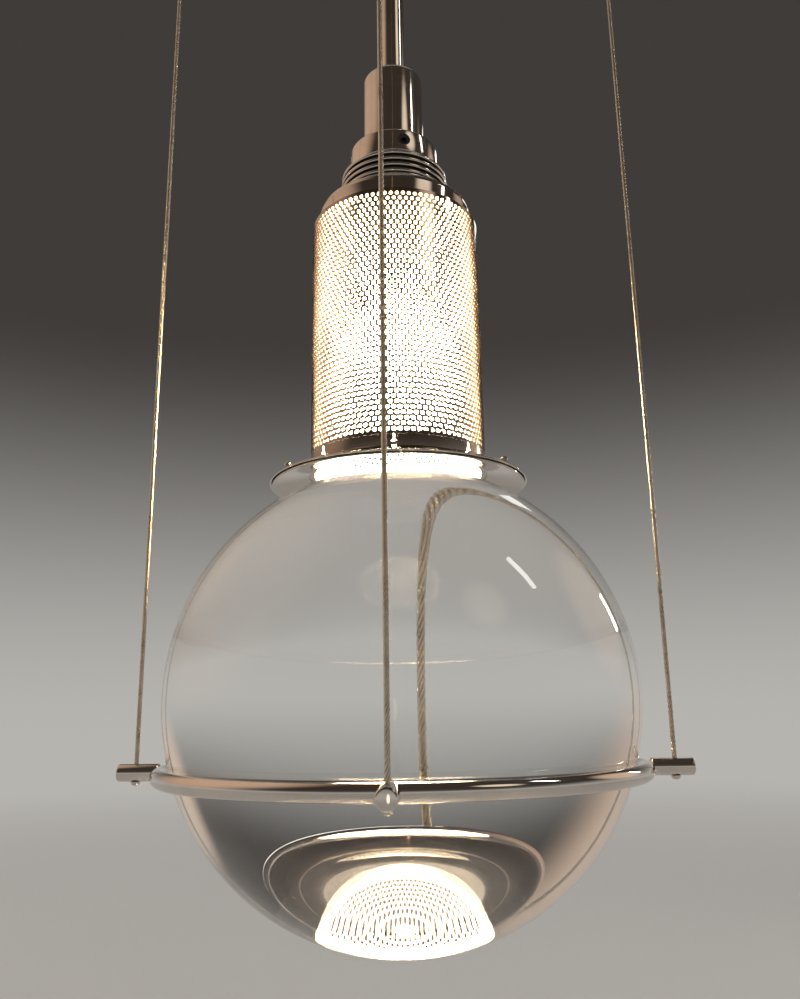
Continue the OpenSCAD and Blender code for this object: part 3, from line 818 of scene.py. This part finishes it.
def lamp_head(spun, turned, ribbed, rod_chrome):
    """The turned pieces on the rod, from the coupling down to the light opening."""
    rod = lathe("rod_tube", eased([
        (ROD_BORE, ROD_FOOT, 0.2), (ROD_R, ROD_FOOT, 0.3), (ROD_R, ROD_TOP, 0.3),
        (ROD_BORE, ROD_TOP, 0.2)]), 96)
    fit(rod, "frame", "rod", rod_chrome)

    coupling = lathe("coupling_body", eased([
        (NIPPLE_BORE, STEP_Z), (STEP_R, STEP_Z, 0.4), (STEP_R, STEP_TOP, 0.3), (COUPLING_R, STEP_TOP),
        (COUPLING_R, COUPLING_TOP, 2.5), (SNUG_BORE, COUPLING_TOP, 0.4), (SNUG_BORE, ROD_FOOT),
        (FLEX_BORE, ROD_FOOT), (FLEX_BORE, NIPPLE_TOP), (NIPPLE_BORE, NIPPLE_TOP)]), 160)
    fit(coupling, "frame", "coupling", turned)

    bore = COUPLING_R + 0.06
    collar = lathe("collar_band", eased([
        (bore, COLLAR_Z, 0.3), (COLLAR_R, COLLAR_Z, 0.35), (COLLAR_R, COLLAR_TOP, 1.3),
        (bore, COLLAR_TOP, 0.5)]), 160)
    middle = (COLLAR_Z + COLLAR_TOP) / 2
    cut(collar, [side_drill(SET_SCREW_R + 0.06, 12, 20, SET_SCREW_TURN, middle, 48)])
    fit(collar, "shade", "collar", turned, 30)

    pitch = RIBBED_H / RIBS
    ribs = [(HEAD_BORE, CONE_Z), (CONE_R, CONE_Z, 0.2), (CONE_R, CONE_Z + 0.7, 0.2)]
    for k in range(RIBS):
        low_side = CONE_Z + pitch * k + pitch * 0.5
        top_side = low_side + pitch * 0.5
        wide = CONE_R - TAPER * (k + 1) / RIBS
        ribs += [(wide - RIB_DEPTH, low_side - 0.1, 0.3), (wide, low_side + 0.08, 0.65),
                 (wide, top_side - 0.08, 0.65), (wide - RIB_DEPTH, top_side + 0.1, 0.3)]
    ribs = ribs[:-1] + [(24.5, CONE_Z + RIBBED_H - 0.1), (21.5, COLLAR_Z), (18.0, COLLAR_Z)]
    cone = lathe("ribbed_cone", eased(ribs, 4), 160)
    fit(cone, "shade", "rib_cone", ribbed, 40)

    rim_z, inner = SLEEVE_TOP - 1.6, 35.35
    cap = lathe("cap_shell", eased([
        (HEAD_BORE, CONE_Z), (CONE_R, CONE_Z, 0.3), (33.4, SHOULDER_Z + 2.95, 3),
        (CAP_R - 0.75, SHOULDER_Z + 1.25, 1.6), (CAP_R, SHOULDER_Z - 1.0, 1.2),
        (CAP_R, SLEEVE_TOP, 0.35), (SLEEVE_BORE, SLEEVE_TOP, 0.3), (SLEEVE_BORE, rim_z), (inner, rim_z),
        (inner, SHOULDER_Z - 1.2, 2.5), (31.5, SHOULDER_Z + 1.4), (HEAD_BORE, CONE_Z - 1.6)], 8), 176)
    fit(cap, "shade", "cap", spun, 30)

    # The brim and the light ring under it share a flare, whose middle is here
    mid_r, mid_z = 50.22, -427.79
    spigot_top, brim_z = -422.62, -427.02
    brim = lathe("brim_skirt", eased([
        (37.99, brim_z), (37.99, spigot_top, 0.3), (38.96, spigot_top, 0.3), (38.96, SEAT_Z),
        (40.3, SEAT_Z, 0.3), (41.6, SEAT_Z - 1.5, 1.4), (mid_r, mid_z + 0.15, 26),
        (57.9, EDGE_Z + 0.5, 0.5), (58.25, EDGE_Z, 0.3), (57.8, EDGE_Z - 0.4, 0.3),
        (mid_r - 0.4, mid_z - 1.15, 24), (41.2, brim_z)], 8), 192)
    fit(brim, "shade", "brim", spun, 30)

    lip_top = brim_z - 0.07
    light_ring = lathe("light_ring", eased([
        (LIP_R, LIP_Z, 0.35), (57.05, EDGE_Z - 1.4, 0.4), (57.05, EDGE_Z - 0.55, 0.25),
        (mid_r - 0.4, mid_z - 1.28), (41.2, lip_top), (LIP_R, lip_top, 0.3)], 6), 192)
    fit(light_ring, "shade", "under_ring", spun, 30)


def bulb(finish):
    """The bulb's glass: a round belly that runs into its neck, open at the stem."""
    belly_end, steps = 36, 16
    join = math.radians(belly_end)
    join_z = BULB_Z + BULB_R * math.sin(join)

    def outline(wall):
        r = BULB_R - wall
        neck_r = BULB_NECK_R - wall
        belly = [(r * math.cos(math.radians(a)), BULB_Z + r * math.sin(math.radians(a)))
                 for a in range(-90, belly_end + 1, 3)]
        narrowing = r * math.cos(join) - neck_r
        neck = [(neck_r + narrowing * (1 - math.sin(math.pi / 2 * k / steps)),
                 join_z + (SHELL_FOOT - join_z) * k / steps) for k in range(1, steps + 1)]
        return belly + neck + [(neck_r, STEM_Z)]

    glass = lathe("bulb_envelope", outline(0) + outline(BULB_WALL)[::-1], 128)
    fit(glass, "bulb", "bulb_glass", finish, 60)


def canopy_pan(spun, turned):
    """The pan at the ceiling and the flange that holds it up."""
    inner, inner_z, bore = CANOPY_R - CANOPY_WALL, CANOPY_Z + CANOPY_WALL, ROD_R + 0.3
    pan = lathe("canopy_pan", eased([
        (inner, 0), (CANOPY_R, 0, 0.4), (CANOPY_R, CANOPY_Z, 6), (bore, CANOPY_Z, 0.5), (bore, inner_z),
        (inner, inner_z, 4.5)], 10), 224)
    for angle in SIDES.values():
        cut(pan, [drill(ROPE_R + 0.3, 8, around(WIRE_REACH, angle, CANOPY_Z + 0.5))])
    fit(pan, "frame", "canopy", spun, 30)

    flange = lathe("canopy_flange", eased([
        (SNUG_BORE, CANOPY_Z), (FLANGE_R, CANOPY_Z, 0.4), (FLANGE_R, CANOPY_Z - 2.8, 0.8),
        (13, CANOPY_Z - 4.8, 2), (9.3, FLANGE_Z, 0.7), (SNUG_BORE, FLANGE_Z, 0.3)]), 112)
    fit(flange, "frame", "rod_flange", turned, 30)


# ---------- stage ----------

def set_floor():
    """A plain pale floor that runs out into the pale room."""
    begin()
    bpy.ops.mesh.primitive_circle_add(vertices=64, radius=9, fill_type="NGON", location=(0, 0, FLOOR_Z))
    floor = named("floor")
    made, tree, shader = material("floor", Roughness=0.75, Base_Color=(0.72, 0.71, 0.69, 1))
    away = reach_of(tree, add(tree, "ShaderNodeNewGeometry").outputs["Position"])
    far = add(tree, "ShaderNodeEmission", {"Color": HORIZON, "Strength": 1.0})
    mixed = add(tree, "ShaderNodeMixShader", {
        0: span(tree, away, 0.5, 3.5), 1: shader.outputs[0], 2: far.outputs[0]})
    tree.links.new(mixed.outputs[0], tree.nodes["Material Output"].inputs[0])
    floor.data.materials.append(made)


def set_room():
    """A pale room that darkens upward, with soft bright places for the chrome to mirror."""
    world = bpy.data.worlds.new("studio")
    scene.world = world
    world.use_nodes = True
    tree = world.node_tree
    tree.nodes.clear()
    out = tree.nodes.new("ShaderNodeOutputWorld")
    toward = add(tree, "ShaderNodeTexCoord").outputs["Generated"]
    axes = add(tree, "ShaderNodeSeparateXYZ", {0: toward})
    room = blend(tree, span(tree, axes.outputs[2], -0.03, 0.42), HORIZON, ZENITH)
    behind = maths(tree, "MULTIPLY", span(tree, axes.outputs[1], -0.75, 0.15, 0.75, 0.0),
                   span(tree, axes.outputs[2], -0.05, 0.2))
    room = blend(tree, behind, room, BEHIND)
    rays = add(tree, "ShaderNodeLightPath")
    mirrored = rays.outputs["Is Glossy Ray"]
    # Each bright place: where it lies, the cosines within which it is full and seen at all, its colour
    for aim, narrow, wide, colour in (
            ((-0.78, 0.2, 0.59), 0.97, 0.68, (0.66, 0.47, 0.34, 1)),
            ((0.82, 0.45, 0.36), 0.99, 0.94, (0.75, 0.57, 0.43, 1)),
            ((0.6, -0.53, 0.6), 0.998, 0.978, (1.1, 0.95, 0.78, 1))):
        near = add(tree, "ShaderNodeVectorMath", {0: toward, 1: aim}, operation="DOT_PRODUCT")
        soft = maths(tree, "MULTIPLY", span(tree, near.outputs["Value"], wide, narrow), mirrored)
        room = blend(tree, soft, room, colour)
    seen = add(tree, "ShaderNodeBackground", {"Color": room, "Strength": 1.0})
    fill = add(tree, "ShaderNodeBackground", {"Color": (1.0, 0.98, 0.95, 1), "Strength": 0.4})
    direct = maths(tree, "MAXIMUM", rays.outputs["Is Camera Ray"],
                   maths(tree, "MAXIMUM", mirrored, rays.outputs["Is Transmission Ray"]))
    mixed = add(tree, "ShaderNodeMixShader", {0: direct, 1: fill.outputs[0], 2: seen.outputs[0]})
    tree.links.new(mixed.outputs[0], out.inputs[0])


def set_lamps():
    """Soft lamps: name, place and size in metres, power in watts, colour."""
    head = Vector((0, 0, -0.42))
    for name, place, size, power, colour in (
            ("strip", (1.5, -0.22, 0.93), (0.1, 0.5), 1.4, (1.0, 0.97, 0.93)),
            ("low", (0.81, 0.65, -0.2), (0.05, 0.16), 0.6, (1.0, 0.95, 0.88)),
            ("left", (-1.5, 0.5, 0.6), (0.8, 0.8), 4, (1.0, 0.92, 0.82)),
            ("back", (0.3, 1.7, 0.9), (1.2, 0.3), 2.5, (1.0, 0.97, 0.93)),
            ("front", (-0.03, -1.61, -0.685), (0.09, 0.25), 0.08, (1.0, 0.8, 0.6))):
        data = bpy.data.lights.new(name, "AREA")
        data.shape = "ELLIPSE" if name == "front" else "RECTANGLE"
        data.size, data.size_y = size
        data.energy = power
        data.color = colour
        lamp = bpy.data.objects.new(name, data)
        scene.collection.objects.link(lamp)
        lamp.location = place
        lamp.rotation_euler = (Vector(place) - head).to_track_quat("Z", "Y").to_euler()
        lamp.visible_camera = False
        lamp.visible_transmission = False
        lamp.visible_glossy = name != "left"


# ---------- the whole light ----------

scene.view_settings.view_transform = "Standard"
set_camera()

rope = rope_steel()
for side, angle in SIDES.items():
    wire_rope(side, angle, rope)

ring = chrome("chrome_ring", (0.72, 0.67, 0.62), (0.66, 0.6, 0.55), 0.05, 0.0003, 0.000003,
              smear=0.07, dusty=0.2)
turned = chrome("chrome_turned", (0.66, 0.6, 0.54), (0.58, 0.52, 0.46), 0.09, 0.00035, smear=0.09)
spun = chrome("chrome_spun", (0.62, 0.56, 0.51), (0.54, 0.48, 0.43), 0.07, 0.0005, 0.000003, smear=0.09)
tube = chrome("chrome_rod", (0.68, 0.62, 0.56), (0.6, 0.54, 0.48), 0.08, 0.0004, 0.000003, smear=0.08)
sheet = chrome("chrome_sheet", (0.42, 0.36, 0.3), (0.34, 0.285, 0.235), 0.14, 0.0008)
pan = chrome("chrome_canopy", (0.72, 0.69, 0.66), (0.66, 0.63, 0.6), 0.08, 0.0006, size=0.05)
steel = satin("grip_steel", (0.7, 0.66, 0.6), (0.5, 0.46, 0.4), 0.28)
zinc = satin("plate_steel", (0.6, 0.6, 0.62), (0.44, 0.44, 0.46), 0.42, grain=0.003)
black = satin("black_steel", (0.06, 0.058, 0.055), (0.025, 0.024, 0.023), 0.34, metal=0.6)
brass = satin("contact_brass", (0.78, 0.58, 0.27), (0.55, 0.38, 0.16), 0.3)
rolled = satin("cap_metal", (0.76, 0.75, 0.73), (0.58, 0.57, 0.55), 0.3)
white = glazed("porcelain", (0.88, 0.86, 0.8), (0.8, 0.77, 0.7), 0.22)
ivory = glazed("block_plastic", (0.86, 0.82, 0.7), (0.76, 0.72, 0.6), 0.4)

crystal_ball(clear_crystal())
bent_ring(ring)
for side, angle in SIDES.items():
    pin(side, angle, ring)
perforated_sleeve(sheet, painted_glow_metal())
lamp_head(spun, turned, ribbed_chrome(), tube)
bulb(bulb_clear())
canopy_pan(pan, turned)

# The CAD nodes that stay get their finishes
for node, finish in {
        "ceiling_plate": zinc, "terminal_block": ivory, "wire_grips": steel, "nipple": brass,
        "lampholder": white, "holder_core": white, "holder_contact": brass, "wire_stops": steel,
        "brim_screws": steel, "set_screw": black, "bulb_stem": stem_glass(), "filament": hot_wire(),
        "bulb_cap": rolled, "bulb_contact": brass}.items():
    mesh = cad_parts[node].data
    mesh.materials.clear()
    mesh.materials.append(finish)

set_floor()
set_room()
set_lamps()
